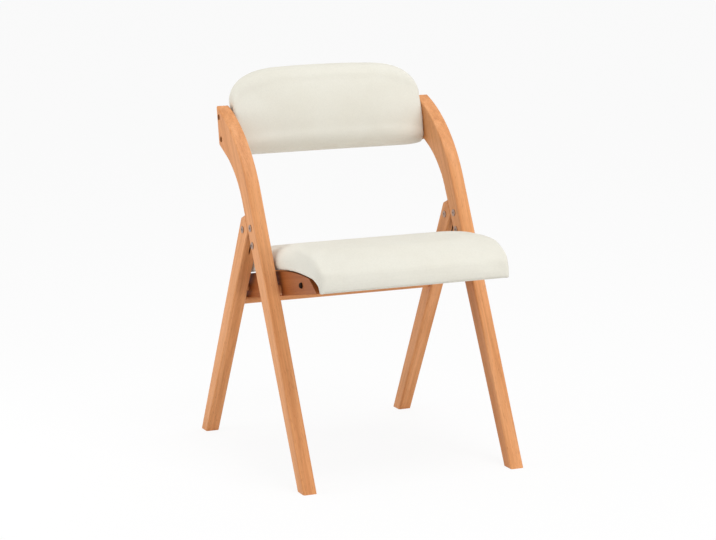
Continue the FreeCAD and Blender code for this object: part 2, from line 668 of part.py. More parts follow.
def seat_rail():
    """The left seat rail: round tail at the pivot, raised front, notch for the front bar."""
    corners = [
        ("Sizes.rail_tail", "-Sizes.rail_below_pivot"),
        ("-Sizes.rail_front", "-Sizes.rail_below_pivot"),
        ("-Sizes.rail_front", "-Sizes.rail_below_pivot + Sizes.rail_front_blunt"),
        ("-Sizes.rail_front + Sizes.rail_front_slant", "Sizes.panel_rise / 3"),
        ("-Sizes.rail_front + Sizes.rail_front_slant", "2 * Sizes.panel_rise"),
        ("-Sizes.rail_step_front", "2 * Sizes.panel_rise"),
        ("-Sizes.rail_step_front", "Sizes.panel_rise"),
        ("-Sizes.rail_step_back", "Sizes.rail_above_pivot"),
        ("Sizes.rail_tail", "Sizes.rail_above_pivot"),
    ]
    body = padded_body("seat_rail", corners, "Sizes.rail_thickness")

    def tail(edge):
        return across_at(*corners[0])(edge) or across_at(*corners[-1])(edge)
    round_edges(body, "seat_rail_tail", "Sizes.rail_tail_round", tail)
    tilt_to_seat(body, "-(%s)" % RAIL_X)
    shoulder_y = "Places.notch_y + Places.notch_half * cos(Sizes.notch_flare)"
    shoulder_z = "Places.notch_z + Places.notch_half * sin(Sizes.notch_flare)"
    floor = "2 * Sizes.rail_below_pivot"
    notch = padded_body("rail_notch", [
        ("Places.notch_y - Places.notch_half", "Places.notch_z"),
        (shoulder_y, shoulder_z),
        ("%s + (%s + %s) * tan(Sizes.notch_flare)" % (shoulder_y, shoulder_z, floor), "-" + floor),
        ("Places.notch_y - Places.notch_half", "-" + floor),
    ], "2 * Sizes.rail_thickness")
    tilt_to_seat(notch, "-(%s)" % RAIL_X)
    outer = "-Places.rail_outer_x"
    through = "Sizes.rail_thickness"
    tools = [
        rail_room,
        notch,
        cylinder("notch_seat", "2 * Places.notch_half", through, outer, "Places.bar_y", "Places.bar_z"),
        cylinder("pivot_hole", "Sizes.pivot_bolt_diameter + 2 * Sizes.hole_slack", through, outer,
                 "Places.seat_y", "Sizes.seat_pivot_height"),
        cylinder("rail_bolt_hole", "Sizes.rail_bolt_diameter + 2 * Sizes.hole_slack", through, outer, *RAIL_BOLT),
        cylinder("rail_bolt_bore", "Sizes.counterbore_diameter", "Sizes.rail_bore_depth", outer, *RAIL_BOLT),
    ]
    for number, spot in enumerate(DOWELS):
        tools.append(cylinder("rail_dowel_hole_%d" % number, "Sizes.dowel_diameter + 2 * Sizes.hole_slack",
                              "Sizes.dowel_depth_in_rail + Sizes.hole_slack",
                              "-Places.rail_inner_x - Sizes.dowel_depth_in_rail - Sizes.hole_slack", *spot))
    return cut_from("seat_rail_left", body, tools)


parts["seat_rail_left"] = seat_rail()
parts["seat_rail_right"] = mirrored("seat_rail_right", parts["seat_rail_left"])

# Seat cross rails, and the screws that hold the panel down on them

SCREW_STEPS = ("-1", "0", "1")


def upright(name, diameter, length, x, along, up):
    """A round bar square to the seat, from the given point upwards."""
    bar = doc.addObject("Part::Cylinder", name)
    bind(bar, Radius="(%s) / 2" % diameter, Height=length)
    tilt_to_seat(bar, x, along, up)
    return bar


def panel_screws(name, setback, lift):
    """Screws and their holes, up through a cross rail into the panel."""
    bottom = "%s - Sizes.rail_below_pivot" % lift
    top = value("Sizes.panel_rise") if name == "rear" else panel_underside(value(setback))
    screws, holes = [], []
    for number, way in enumerate(SCREW_STEPS):
        x = "%s * Places.panel_screw_spread" % way
        spot = (x, "-" + setback, bottom)
        length = "%f + Sizes.rail_below_pivot - %s + Sizes.panel_screw_bite" % (top, lift)
        label = "%s_screw_%d" % (name, number)
        screws.append(joined(label, [
            upright(label + "_shank", "Sizes.panel_screw_diameter", length, *spot),
            upright(label + "_head", "Sizes.panel_screw_head_diameter", "Sizes.panel_screw_head_height", *spot)]))
        holes.append(upright(label + "_hole", "Sizes.panel_screw_diameter + 2 * Sizes.hole_slack",
                             length + " + Sizes.hole_slack", *spot))
        holes.append(upright(label + "_sink", "Sizes.panel_screw_head_diameter + 2 * Sizes.hole_slack",
                             "Sizes.panel_screw_head_height + Sizes.hole_slack", *spot))
    return screws, holes


def panel_underside(setback):
    """Height of the panel's underside above the pivot line, on its shallow bend."""
    radius = value("Sizes.seat_bend_radius")
    along = setback - value("Sizes.seat_bend_setback")
    return value("Sizes.panel_rise") - radius + math.sqrt(radius ** 2 - along ** 2)


def cross_rail(name, setback, lift, tools):
    """A rail across the seat frame, its top fitted to the panel's underside."""
    half = "Sizes.cross_rail_thickness / 2"
    corners = [
        ("-%s - %s" % (setback, half), "%s - Sizes.rail_below_pivot" % lift),
        ("-%s + %s" % (setback, half), "%s - Sizes.rail_below_pivot" % lift),
        ("-%s + %s" % (setback, half), "2 * Sizes.panel_rise"),
        ("-%s - %s" % (setback, half), "2 * Sizes.panel_rise"),
    ]
    body = padded_body(name + "_blank", corners, INNER_WIDTH)
    tilt_to_seat(body)
    return cut_from(name, body, [seat_room] + tools)


def mirrored_cylinders(name, diameter, near, far, spot):
    """The same hole from both sides, between two distances from the middle plane."""
    return [cylinder("%s_%s" % (name, word), diameter, "(%s) - (%s)" % (far, near),
                     start_x(sign, near, far), *spot) for word, sign in SIDES.items()]


NUT_X = "(Places.rail_inner_x - Sizes.barrel_nut_inset)"
BOLT_END = "(Places.rail_outer_x - Sizes.rail_bore_depth + Sizes.rail_bolt_head_height - Sizes.rail_bolt_length)"
front_screws, front_holes = panel_screws("front", "Sizes.front_rail_setback", "Sizes.front_rail_lift")
rear_screws, rear_holes = panel_screws("rear", "Sizes.rear_rail_setback", "0")
barrel_nuts, nut_holes = [], []
for word, sign in SIDES.items():
    nut_spot = ("%d * %s" % (sign, NUT_X), "-Sizes.front_rail_setback",
                "Sizes.rail_bolt_rise - Sizes.barrel_nut_length / 2")
    nut_blank = upright("nut_blank_" + word, "Sizes.barrel_nut_diameter", "Sizes.barrel_nut_length", *nut_spot)
    nut_thread = cylinder("nut_thread_" + word, "Sizes.rail_bolt_diameter", "2 * Sizes.barrel_nut_diameter",
                          "%d * %s - Sizes.barrel_nut_diameter" % (sign, NUT_X), *RAIL_BOLT)
    barrel_nuts.append(cut_from("barrel_nut_" + word, nut_blank, [nut_thread]))
    nut_holes.append(upright("nut_hole_" + word, "Sizes.barrel_nut_diameter + 2 * Sizes.hole_slack",
                             "2 * Sizes.barrel_nut_length", nut_spot[0], nut_spot[1],
                             "Sizes.rail_bolt_rise - 3 * Sizes.barrel_nut_length / 2"))
bolt_holes = mirrored_cylinders("front_rail_bolt_hole", "Sizes.rail_bolt_diameter + 2 * Sizes.hole_slack",
                                BOLT_END, "Places.rail_inner_x", RAIL_BOLT)
DOWEL_NEAR = "(Places.rail_inner_x + Sizes.dowel_depth_in_rail - Sizes.dowel_length)"
DOWEL_FAR = "(Places.rail_inner_x + Sizes.dowel_depth_in_rail)"
dowels, dowel_holes = [], []
for number, spot in enumerate(DOWELS):
    dowels += mirrored_cylinders("dowel_%d" % number, "Sizes.dowel_diameter", DOWEL_NEAR, DOWEL_FAR, spot)
    dowel_holes += mirrored_cylinders("rear_rail_dowel_hole_%d" % number,
                                      "Sizes.dowel_diameter + 2 * Sizes.hole_slack",
                                      DOWEL_NEAR + " - Sizes.hole_slack", "Places.rail_inner_x", spot)
rail_bolts = []
for word, sign in SIDES.items():
    seat_face = "(Places.rail_outer_x - Sizes.rail_bore_depth)"
    head_top = seat_face + " + Sizes.rail_bolt_head_height"
    rail_bolts.append(joined("rail_bolt_" + word, [
        cylinder("rail_bolt_head_" + word, "Sizes.rail_bolt_head_diameter", "Sizes.rail_bolt_head_height",
                 start_x(sign, seat_face, head_top), *RAIL_BOLT),
        cylinder("rail_bolt_shank_" + word, "Sizes.rail_bolt_diameter",
                 "Sizes.rail_bolt_length - Sizes.rail_bolt_head_height",
                 start_x(sign, BOLT_END, seat_face), *RAIL_BOLT)]))

parts["seat_front_rail"] = cross_rail("seat_front_rail", "Sizes.front_rail_setback", "Sizes.front_rail_lift",
                                      front_holes + nut_holes + bolt_holes)
parts["seat_rear_rail"] = cross_rail("seat_rear_rail", "Sizes.rear_rail_setback", "0", rear_holes + dowel_holes)
parts["rail_bolts"] = group("rail_bolts", rail_bolts)
parts["rail_barrel_nuts"] = group("rail_barrel_nuts", barrel_nuts)
parts["rail_dowels"] = group("rail_dowels", dowels)
parts["seat_panel"] = cut_from("seat_panel", panel_blank, front_holes + rear_holes)
parts["seat_panel_screws"] = group("seat_panel_screws", front_screws + rear_screws)

# Seat pivots on the rear legs

PIVOT_SPOT = ("Places.seat_y", "Sizes.seat_pivot_height")
bolts, inserts, spacers = [], [], []
for word, sign in SIDES.items():
    head_face = "(Places.rail_inner_x - Sizes.pivot_head_gap)"
    insert_end = "(Places.inner_x + Sizes.pivot_insert_length)"
    bolts.append(joined("pivot_bolt_" + word, [
        cylinder("pivot_bolt_head_" + word, "Sizes.pivot_head_diameter", "Sizes.pivot_head_height",
                 start_x(sign, head_face + " - Sizes.pivot_head_height", head_face), *PIVOT_SPOT),
        cylinder("pivot_bolt_shank_" + word, "Sizes.pivot_bolt_diameter",
                 "%s - %s" % (insert_end, head_face), start_x(sign, head_face, insert_end), *PIVOT_SPOT)]))
    inserts.append(cut_from("pivot_insert_" + word, cylinder(
        "pivot_insert_blank_" + word, "Sizes.pivot_insert_diameter", "Sizes.pivot_insert_length",
        start_x(sign, "Places.inner_x", insert_end), *PIVOT_SPOT), [cylinder(
            "pivot_insert_bore_" + word, "Sizes.pivot_bolt_diameter", "Sizes.pivot_insert_length",
            start_x(sign, "Places.inner_x", insert_end), *PIVOT_SPOT)]))
    spacer_face = "(Places.rail_outer_x + Sizes.pivot_spacer_gap)"
    spacers.append(cut_from("pivot_spacer_" + word, cylinder(
        "pivot_spacer_blank_" + word, "Sizes.pivot_spacer_diameter", "Places.inner_x - %s" % spacer_face,
        start_x(sign, spacer_face, "Places.inner_x"), *PIVOT_SPOT), [cylinder(
            "pivot_spacer_bore_" + word, "Sizes.pivot_bolt_diameter + 2 * Sizes.hole_slack",
            "Sizes.rail_side_gap", start_x(sign, "Places.rail_outer_x", "Places.inner_x"), *PIVOT_SPOT)]))
parts["seat_pivot_bolts"] = group("seat_pivot_bolts", bolts)
parts["seat_pivot_inserts"] = group("seat_pivot_inserts", inserts)
parts["seat_pivot_spacers"] = group("seat_pivot_spacers", spacers)

# Seat cushion
# A rolled side profile runs across the seat; the cover's outline rounds its corners in plan.


def cushion_profile(x):
    """The cushion from the side: underside, skirt, rolled front, top and rounded rear end."""
    underside = seat_curve(-value("Sizes.cushion_clearance"), x)
    knee = underside[1].Vertexes[0].Point
    heel = underside[1].Vertexes[-1].Point
    nose = underside[2].Vertexes[-1].Point
    height = value("Sizes.cushion_height")
    front = -value("Sizes.cushion_front")
    rear = -value("Sizes.cushion_rear")
    up = Vector(0, 0, height)
    hem = value("Sizes.rail_below_pivot + Sizes.cushion_skirt_drop")
    skirt = Vector(x, front + value("Sizes.cushion_skirt_inset"), -hem)
    face = Vector(x, front, (skirt.z + heel.z + height) / 2)
    brow = heel + Vector(0, height * 0.6, height + (knee.z - heel.z) * 0.3)
    shoulder = (face + brow) / 2 + Vector(0, -height * 0.14, height * 0.16)
    crown = (knee + up + brow) / 2 + Vector(0, 0, (knee.z - heel.z) * 0.2)
    rear_low = Vector(x, rear, knee.z)
    rear_high = rear_low + Vector(0, -height * 0.3, height)
    rear_mid = rear_low + Vector(0, height * 0.08, height * 0.55)
    return Part.Wire([
        Part.LineSegment(rear_low, underside[0].Vertexes[0].Point).toShape(),
        *underside,
        Part.LineSegment(nose, skirt).toShape(),
        three_point_arc(skirt, (skirt + face) / 2 + Vector(0, -1, 0), face),
        three_point_arc(face, shoulder, brow),
        three_point_arc(brow, crown, knee + up),
        Part.LineSegment(knee + up, rear_high).toShape(),
        three_point_arc(rear_high, rear_mid, rear_low),
    ])


def seat_cushion():
    """The rolled profile across the seat, within an outline drawn in towards the top."""
    half = value("Places.cushion_half_width")
    height = value("Sizes.cushion_height")
    rise = value("Sizes.panel_rise")
    crown = value("Sizes.cushion_edge_round")
    side = Part.Face(cushion_profile(-half)).extrude(Vector(2 * half, 0, 0))
    levels = ((-2 * height, 0), (rise + 0.4 * height, 0), (rise + 0.66 * height, 0.1 * crown),
              (rise + 0.84 * height, 0.32 * crown), (rise + 0.95 * height, 0.68 * crown),
              (rise + 1.02 * height, 1.3 * crown))
    plan = rounded_plan(half, value("Sizes.cushion_round_rear"), value("Sizes.cushion_front") + 1,
                        value("Sizes.cushion_corner"), levels)
    return side.common(plan).Solids[0]


clear = value("Sizes.cushion_clearance")
panel_pocket = seat_feature("panel_pocket", seat_slab(
    -4 * clear, value("Sizes.panel_thickness") + clear, HALF_WIDTH).common(panel_plan(clear)))
cushion_blank = seat_feature("cushion_blank", seat_cushion())
parts["seat_cushion"] = cut_from("seat_cushion", cushion_blank, [panel_pocket])

# Backrest board and its bolts


def lean_to_back(feature):
    feature.Placement = Placement(Vector(), Rotation(Vector(-1, 0, 0), value("Sizes.back_lean")))
    feature.setExpression("Placement.Rotation.Angle", "Sizes.back_lean")
    place(feature, 0, "Places.back_bolt_y", "Places.back_bolt_z")


def board_form(name, reach, thickness, margin):
    """The board's outline, or with a margin its pocket: square low ends and sloping shoulders."""
    low = "-Sizes.board_below_bolt - %s" % margin
    shoulder = "Sizes.board_shoulder + %s" % margin
    high = "Sizes.board_above_bolt + %s" % margin
    top = "Places.board_top_half + %s" % margin
    left = "-(%s)" % reach
    corners = [(left, low), (reach, low), (reach, shoulder), (top, high), ("-(%s)" % top, high), (left, shoulder)]
    body = padded_body(name, corners, thickness, "XZ_Plane")

    def corner_at(height):
        def wanted(edge):
            ends = [vertex.Point for vertex in edge.Vertexes]
            return edge.BoundBox.YLength > 1 and all(abs(p.z - height) < 0.01 for p in ends)
        return wanted
    round_edges(body, name + "_top_corners", "Sizes.board_top_corner", corner_at(value(high)))
    round_edges(body, name + "_shoulders", "Sizes.board_top_corner", corner_at(value(shoulder)))
    lean_to_back(body)
    return body


def backrest_board():
    body = board_form("backrest_blank", "Places.inner_x", "Sizes.board_thickness", "0")
    tools = []
    for number, spot in enumerate(BACK_BOLTS):
        tools += mirrored_cylinders("board_insert_hole_%d" % number,
                                    "Sizes.back_insert_diameter + 2 * Sizes.hole_slack",
                                    "(Places.inner_x - Sizes.back_insert_length)", "Places.inner_x", spot)
    return cut_from("backrest_board", body, tools)


back_bolts, back_inserts = [], []
for word, sign in SIDES.items():
    for number, spot in enumerate(BACK_BOLTS):
        label = "back_bolt_%s_%d" % (word, number)
        seat_face = "(Sizes.overall_width / 2 - Sizes.counterbore_depth)"
        bolt_end = "(%s + Sizes.back_bolt_head_height - Sizes.back_bolt_length)" % seat_face
        back_bolts.append(joined(label, [
            cylinder(label + "_head", "Sizes.back_bolt_head_diameter", "Sizes.back_bolt_head_height",
                     start_x(sign, seat_face, seat_face + " + Sizes.back_bolt_head_height"), *spot),
            cylinder(label + "_shank", "Sizes.back_bolt_diameter", "%s - %s" % (seat_face, bolt_end),
                     start_x(sign, bolt_end, seat_face), *spot)]))
        insert_end = "(Places.inner_x - Sizes.back_insert_length)"
        back_inserts.append(cut_from(label + "_insert", cylinder(
            label + "_insert_blank", "Sizes.back_insert_diameter", "Sizes.back_insert_length",
            start_x(sign, insert_end, "Places.inner_x"), *spot), [cylinder(
                label + "_insert_bore", "Sizes.back_bolt_diameter", "Sizes.back_insert_length",
                start_x(sign, insert_end, "Places.inner_x"), *spot)]))
parts["backrest_board"] = backrest_board()
parts["backrest_bolts"] = group("backrest_bolts", back_bolts)
parts["backrest_inserts"] = group("backrest_inserts", back_inserts)

# Backrest pads, before and behind the board


def pad_section(x, low, high, start, thickness):
    """A section of a pad: flat on the board, with a crowned face and round edges."""
    way = 1 if thickness > 0 else -1
    lip = Vector(0, -way * min(abs(thickness), high - low) * 0.45, 0)
    rise = (high - low) * 0.22
    bottom, top = Vector(x, -start, low), Vector(x, -start, high)
    face_low = Vector(x, -start - thickness * 0.86, low + rise)
    face_high = Vector(x, -start - thickness * 0.86, high - rise)
    face_mid = Vector(x, -start - thickness, (low + high) / 2)
    return Part.Wire([
        Part.LineSegment(top, bottom).toShape(),
        three_point_arc(bottom, bottom + lip + Vector(0, 0, rise * 0.12), face_low),
        three_point_arc(face_low, face_mid, face_high),
        three_point_arc(face_high, top + lip - Vector(0, 0, rise * 0.12), top),
    ])


PAD_STATIONS = (0.0, 0.3, 0.55, 0.75, 0.88, 0.955, 0.99, 1.0)


def backrest_pad(name, start, thickness):
    """A pad with strongly rounded top corners and a gently arched top edge."""
    half = value("Places.pad_half_width")
    low = -value("Sizes.pad_below_bolt")
    high = value("Sizes.pad_above_bolt")
    corner = value("Sizes.pad_corner")
    arch = value("Sizes.pad_arch")

    def fall(share):
        """How far the outline has dropped from its top, by the share of the half width."""
        return arch * share ** 2 + corner * (1 - math.sqrt(1 - share ** 5))

    sections = []
    for share in PAD_STATIONS:
        full = 1.06 - 0.44 * share ** 6
        sections.append((half * share, high - fall(share), thickness * full))
    spread = [(-x, top, deep) for x, top, deep in sections[:0:-1]] + sections
    wires = [pad_section(x, low, top, start, deep) for x, top, deep in spread]
    feature = doc.addObject("Part::Feature", name)
    feature.Shape = Part.makeLoft(wires, True, False)
    lean_to_back(feature)
    return feature


board_half = value("Sizes.board_thickness") / 2
front_blank = backrest_pad("front_pad_blank", -board_half, value("Sizes.pad_front_thickness") + 2 * board_half)
board_pocket = board_form("board_pocket", "Places.leg_x", "Sizes.board_thickness + 2 * Sizes.cushion_clearance",
                          "Sizes.cushion_clearance")
parts["backrest_pad_front"] = cut_from("backrest_pad_front", front_blank, [board_pocket])
parts["backrest_pad_rear"] = backrest_pad("backrest_pad_rear", -board_half - clear,
                                          -value("Sizes.pad_rear_thickness"))

# Check every object, then write one file for each piece

doc.recompute()
for feature in doc.Objects:
    if "Invalid" in feature.State or "Error" in feature.State:
        raise RuntimeError("%s did not build: %s" % (feature.Label, feature.State))
for name, feature in parts.items():
    feature.Label = name
    if feature.Shape.isNull() or not feature.Shape.isValid() or not feature.Shape.Solids:
        raise RuntimeError("%s has no valid solid" % name)

os.makedirs("parts", exist_ok=True)
for name, feature in parts.items():
    feature.Shape.exportStep("parts/%s.step" % name)
    box = feature.Shape.BoundBox
    print("%-22s solids %d  volume %.0f  Y %.1f..%.1f  Z %.1f..%.1f" % (
        name, len(feature.Shape.Solids), feature.Shape.Volume, box.YMin, box.YMax, box.ZMin, box.ZMax))
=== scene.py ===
import math

import bmesh
import bpy
import numpy as np
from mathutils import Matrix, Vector


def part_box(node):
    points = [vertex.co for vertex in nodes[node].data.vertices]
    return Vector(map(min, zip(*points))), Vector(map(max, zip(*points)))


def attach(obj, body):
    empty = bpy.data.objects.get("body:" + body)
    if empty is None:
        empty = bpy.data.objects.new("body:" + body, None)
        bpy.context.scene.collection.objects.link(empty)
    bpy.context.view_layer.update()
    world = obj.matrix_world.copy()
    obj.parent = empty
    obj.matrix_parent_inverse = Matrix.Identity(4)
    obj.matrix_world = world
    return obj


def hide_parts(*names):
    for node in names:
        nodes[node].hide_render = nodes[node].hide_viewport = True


# Padded wooden folding chair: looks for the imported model.
# Metres, in the CAD's frame: +Z up, -Y to the front, X across.

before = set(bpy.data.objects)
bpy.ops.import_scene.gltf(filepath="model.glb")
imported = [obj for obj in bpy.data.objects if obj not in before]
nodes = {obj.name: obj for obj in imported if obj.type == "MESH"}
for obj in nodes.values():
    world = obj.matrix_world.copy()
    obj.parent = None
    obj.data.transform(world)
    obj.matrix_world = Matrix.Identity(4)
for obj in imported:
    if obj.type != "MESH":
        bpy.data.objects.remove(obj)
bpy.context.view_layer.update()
scene = bpy.context.scene
scene.view_settings.view_transform = "Standard"


def leaning(angle):
    """The upward direction that leans to the back by an angle."""
    return Vector((0.0, math.sin(angle), math.cos(angle)))


# Places and directions shared with the CAD model

ACROSS = Vector((1.0, 0.0, 0.0))
FRONT_LEG_AXIS = leaning(math.radians(27.35))
REAR_LEG_AXIS = leaning(math.radians(-26.75))
BACK_UP = leaning(math.radians(15.6))
SEAT_TILT = math.radians(11.72)
SEAT_UP = leaning(SEAT_TILT)
SEAT_BACKWARDS = Vector((0.0, math.cos(SEAT_TILT), -math.sin(SEAT_TILT)))
SEAT_PIVOT = Vector((0.0, 0.0928, 0.334))
PANEL_RISE = 0.030
BEND_START = -0.165
BEND_RADIUS = 0.680
NOSE_START = -0.336
NOSE_RADIUS = 0.068
LEG_INNER_FACE = 0.209

# Helpers for objects and materials

WELD_DISTANCE = 1e-6


def put_in_scene(name, data):
    """A new object in the scene that holds a mesh, a camera or a lamp."""
    obj = bpy.data.objects.new(name, data)
    scene.collection.objects.link(obj)
    return obj


def mesh_from(shape, name):
    """A mesh made from a bmesh, which is let go."""
    mesh = bpy.data.meshes.new(name)
    shape.to_mesh(mesh)
    shape.free()
    return mesh


def point_along(obj, direction):
    """Turn a camera or a lamp to look in a direction."""
    obj.rotation_euler = direction.to_track_quat("-Z", "Y").to_euler()


def new_material(name):
    """A material with its Principled shader, ready for more nodes."""
    material = bpy.data.materials.new(name)
    material.use_nodes = True
    tree = material.node_tree
    return material, tree, tree.nodes["Principled BSDF"]


def add(tree, kind, **settings):
    node = tree.nodes.new(kind)
    for key, setting in settings.items():
        setattr(node, key, setting)
    return node


def link(tree, source, target):
    tree.links.new(source, target)


def grey(level):
    return (level, level, level)


def ramp(tree, factor, stops):
    """A colour ramp through the given (position, colour) stops."""
    node = add(tree, "ShaderNodeValToRGB")
    elements = node.color_ramp.elements
    while len(elements) < len(stops):
        elements.new(0.5)
    for element, (position, colour) in zip(elements, stops):
        element.position = position
        element.color = (*colour, 1.0)
    link(tree, factor, node.inputs["Fac"])
    return node.outputs["Color"]


def along_axis(tree, axis, scale):
    """Object coordinates turned so that Z runs along an axis, then scaled."""
    coordinates = add(tree, "ShaderNodeTexCoord")
    turn = add(tree, "ShaderNodeMapping")
    turn.inputs["Rotation"].default_value = axis.rotation_difference(Vector((0, 0, 1))).to_euler()
    link(tree, coordinates.outputs["Object"], turn.inputs["Vector"])
    stretch = add(tree, "ShaderNodeMapping")
    stretch.inputs["Scale"].default_value = scale
    link(tree, turn.outputs["Vector"], stretch.inputs["Vector"])
    return stretch.outputs["Vector"]


def noise(tree, vector, scale, detail, roughness=0.5, distortion=0.0):
    node = add(tree, "ShaderNodeTexNoise")
    node.inputs["Scale"].default_value = scale
    node.inputs["Detail"].default_value = detail
    node.inputs["Roughness"].default_value = roughness
    node.inputs["Distortion"].default_value = distortion
    link(tree, vector, node.inputs["Vector"])
    return node.outputs["Fac"]


def multiplied(tree, share, colour, tone):
    """A colour multiplied by a tone, as far as the share says."""
    node = add(tree, "ShaderNodeMix", data_type="RGBA", blend_type="MULTIPLY")
    node.inputs["Factor"].default_value = share
    link(tree, colour, node.inputs["A"])
    link(tree, tone, node.inputs["B"])
    return node.outputs["Result"]


def painted_hollow_shade(tree, distance, stops, own_shape_only):
    """A tone of painted shade that darkens the colour where the surface is hollow over a
    distance.
    """
    node = add(tree, "ShaderNodeAmbientOcclusion", only_local=own_shape_only)
    node.inputs["Distance"].default_value = distance
    return ramp(tree, node.outputs["AO"], stops)


def combine(tree, operation, first, second):
    """Two values put through a math operation."""
    node = add(tree, "ShaderNodeMath", operation=operation)
    link(tree, first, node.inputs[0])
    link(tree, second, node.inputs[1])
    return node.outputs[0]


def bump(tree, shader, height, strength, distance):
    node = add(tree, "ShaderNodeBump")
    node.inputs["Strength"].default_value = strength
    node.inputs["Distance"].default_value = distance
    link(tree, height, node.inputs["Height"])
    link(tree, node.outputs["Normal"], shader.inputs["Normal"])


# Beech: growth bands, fine streaks, the short dark flecks of the rays, and painted shade in its
# bores and other hollows

WOOD_LIGHT = (0.77, 0.362, 0.156)
WOOD_MIDDLE = (0.70, 0.305, 0.114)
WOOD_DARK = (0.60, 0.240, 0.082)
FLECK_COLOUR = (0.62, 0.50, 0.42)
# The bores' near-black is painted shade, not a colour of the wood.
BORE_PAINTED_SHADE_COLOUR = (0.10, 0.06, 0.04)
AS_CUT = (1.0, 1.0, 1.0)
# The seat rails' darker tone is painted shade from the cushion's overhang and the legs; their
# wood is the same as the legs'.
RAIL_PAINTED_SHADE = (0.46, 0.29, 0.15)
GRAIN_STRETCH = (1.0, 1.0, 0.035)
FLECK_STRETCH = (1.0, 1.0, 0.10)
BAND_SCALE = 70.0
STREAK_SCALE = 420.0
FLECK_SCALE = 900.0
STREAK_SHARE = 0.75
FLECK_SHARE = 0.5
BORE_SHADE = 0.008
BAND_STOPS = ((0.30, WOOD_DARK), (0.50, WOOD_MIDDLE), (0.70, WOOD_LIGHT))
STREAK_STOPS = ((0.35, grey(0.84)), (0.62, grey(1.0)))
FLECK_STOPS = ((0.30, FLECK_COLOUR), (0.37, grey(1.0)))
BORE_PAINTED_SHADE_STOPS = ((0.20, BORE_PAINTED_SHADE_COLOUR), (0.62, grey(1.0)))
WOOD_ROUGHNESS_STOPS = ((0.3, grey(0.56)), (0.7, grey(0.44)))
WOOD_SPECULAR = 0.32
STREAK_BUMP = 0.12
STREAK_DEPTH = 0.0004


def beech(name, axis, tone=AS_CUT):
    """Oiled beech with its grain along an axis; a tone below one darkens it all over as painted
    shade.
    """
    material, tree, shader = new_material(name)
    grain = along_axis(tree, axis, GRAIN_STRETCH)
    bands = noise(tree, grain, BAND_SCALE, detail=3.0, roughness=0.55, distortion=0.6)
    stops = []
    for position, colour in BAND_STOPS:
        stops.append((position, tuple(part * share for part, share in zip(colour, tone))))
    base = ramp(tree, bands, stops)
    streaks = noise(tree, grain, STREAK_SCALE, detail=2.0, roughness=0.6)
    streaked = multiplied(tree, STREAK_SHARE, base, ramp(tree, streaks, STREAK_STOPS))
    rays = along_axis(tree, axis, FLECK_STRETCH)
    flecks = noise(tree, rays, FLECK_SCALE, detail=1.0, roughness=0.4)
    flecked = multiplied(tree, FLECK_SHARE, streaked, ramp(tree, flecks, FLECK_STOPS))
    # Painted shade: darkens the piece's own bores, notches and slots towards near black.
    painted_bore_shade = painted_hollow_shade(tree, BORE_SHADE, BORE_PAINTED_SHADE_STOPS, own_shape_only=True)
    link(tree, multiplied(tree, 1.0, flecked, painted_bore_shade), shader.inputs["Base Color"])
    link(tree, ramp(tree, streaks, WOOD_ROUGHNESS_STOPS), shader.inputs["Roughness"])
    shader.inputs["Specular IOR Level"].default_value = WOOD_SPECULAR
    bump(tree, shader, streaks, STREAK_BUMP, STREAK_DEPTH)
    return material


# Off-white cover: a plain weave with slubs and a faint unevenness of tone

FABRIC_LIGHT = (0.756, 0.736, 0.652)
FABRIC_DARK = (0.728, 0.703, 0.612)
THREAD_PITCH = 0.0011
CLOUD_SCALE = 9.0
SLUB_SCALE = 260.0
SLUB_SHARE = 0.8
THREAD_SHARE = 0.7
CLOUD_STOPS = ((0.30, FABRIC_DARK), (0.62, FABRIC_LIGHT))
SLUB_STOPS = ((0.35, grey(0.97)), (0.60, grey(1.0)))
THREAD_STOPS = ((0.0, grey(0.93)), (0.6, grey(1.0)))
FABRIC_ROUGHNESS = 0.88
FABRIC_SHEEN = 0.15
SHEEN_ROUGHNESS = 0.5
WEAVE_BUMP = 0.25
WEAVE_DEPTH = 0.0002


def threads(tree, coordinates, direction):
    """A wave across a direction, one turn for each thread."""
    project = add(tree, "ShaderNodeVectorMath", operation="DOT_PRODUCT")
    link(tree, coordinates, project.inputs[0])
    project.inputs[1].default_value = direction * (2.0 * math.pi / THREAD_PITCH)
    wave = add(tree, "ShaderNodeMath", operation="SINE")
    link(tree, project.outputs["Value"], wave.inputs[0])
    return wave.outputs[0]


def weave(name, warp, weft):
    """A woven cover whose threads run along two directions."""
    material, tree, shader = new_material(name)
    coordinates = add(tree, "ShaderNodeTexCoord").outputs["Object"]
    warp_threads = threads(tree, coordinates, warp)
    weft_threads = threads(tree, coordinates, weft)
    crossings = combine(tree, "MULTIPLY", warp_threads, weft_threads)
    cloud = noise(tree, coordinates, CLOUD_SCALE, detail=4.0, roughness=0.6)
    slubs = noise(tree, coordinates, SLUB_SCALE, detail=2.0, roughness=0.6)
    base = ramp(tree, cloud, CLOUD_STOPS)
    slubbed = multiplied(tree, SLUB_SHARE, base, ramp(tree, slubs, SLUB_STOPS))
    woven = multiplied(tree, THREAD_SHARE, slubbed, ramp(tree, crossings, THREAD_STOPS))
    link(tree, woven, shader.inputs["Base Color"])
    shader.inputs["Roughness"].default_value = FABRIC_ROUGHNESS
    shader.inputs["Sheen Weight"].default_value = FABRIC_SHEEN
    shader.inputs["Sheen Roughness"].default_value = SHEEN_ROUGHNESS
    bump(tree, shader, combine(tree, "ADD", crossings, slubs), WEAVE_BUMP, WEAVE_DEPTH)
    return material


# Steel of the fasteners and plates, with fine marks and painted shade in its recesses

PLATED_COLOUR = (0.45, 0.30, 0.23)
PLATED_ROUGHNESS = 0.34
BLACKENED_COLOUR = (0.026, 0.013, 0.008)
BLACKENED_ROUGHNESS = 0.6
ZINC_COLOUR = (0.20, 0.185, 0.17)
ZINC_ROUGHNESS = 0.45
MARK_STRETCH = (1.0, 1.0, 0.2)
MARK_SCALE = 900.0
MARK_SHADE = 0.8
MARK_BUMP = 0.1
MARK_DEPTH = 0.0002
RECESS_SHADE = 0.0016
# Near-black painted shade in recesses, fading out where the surface is open.
RECESS_PAINTED_SHADE_STOPS = ((0.35, grey(0.10)), (0.85, grey(1.0)))


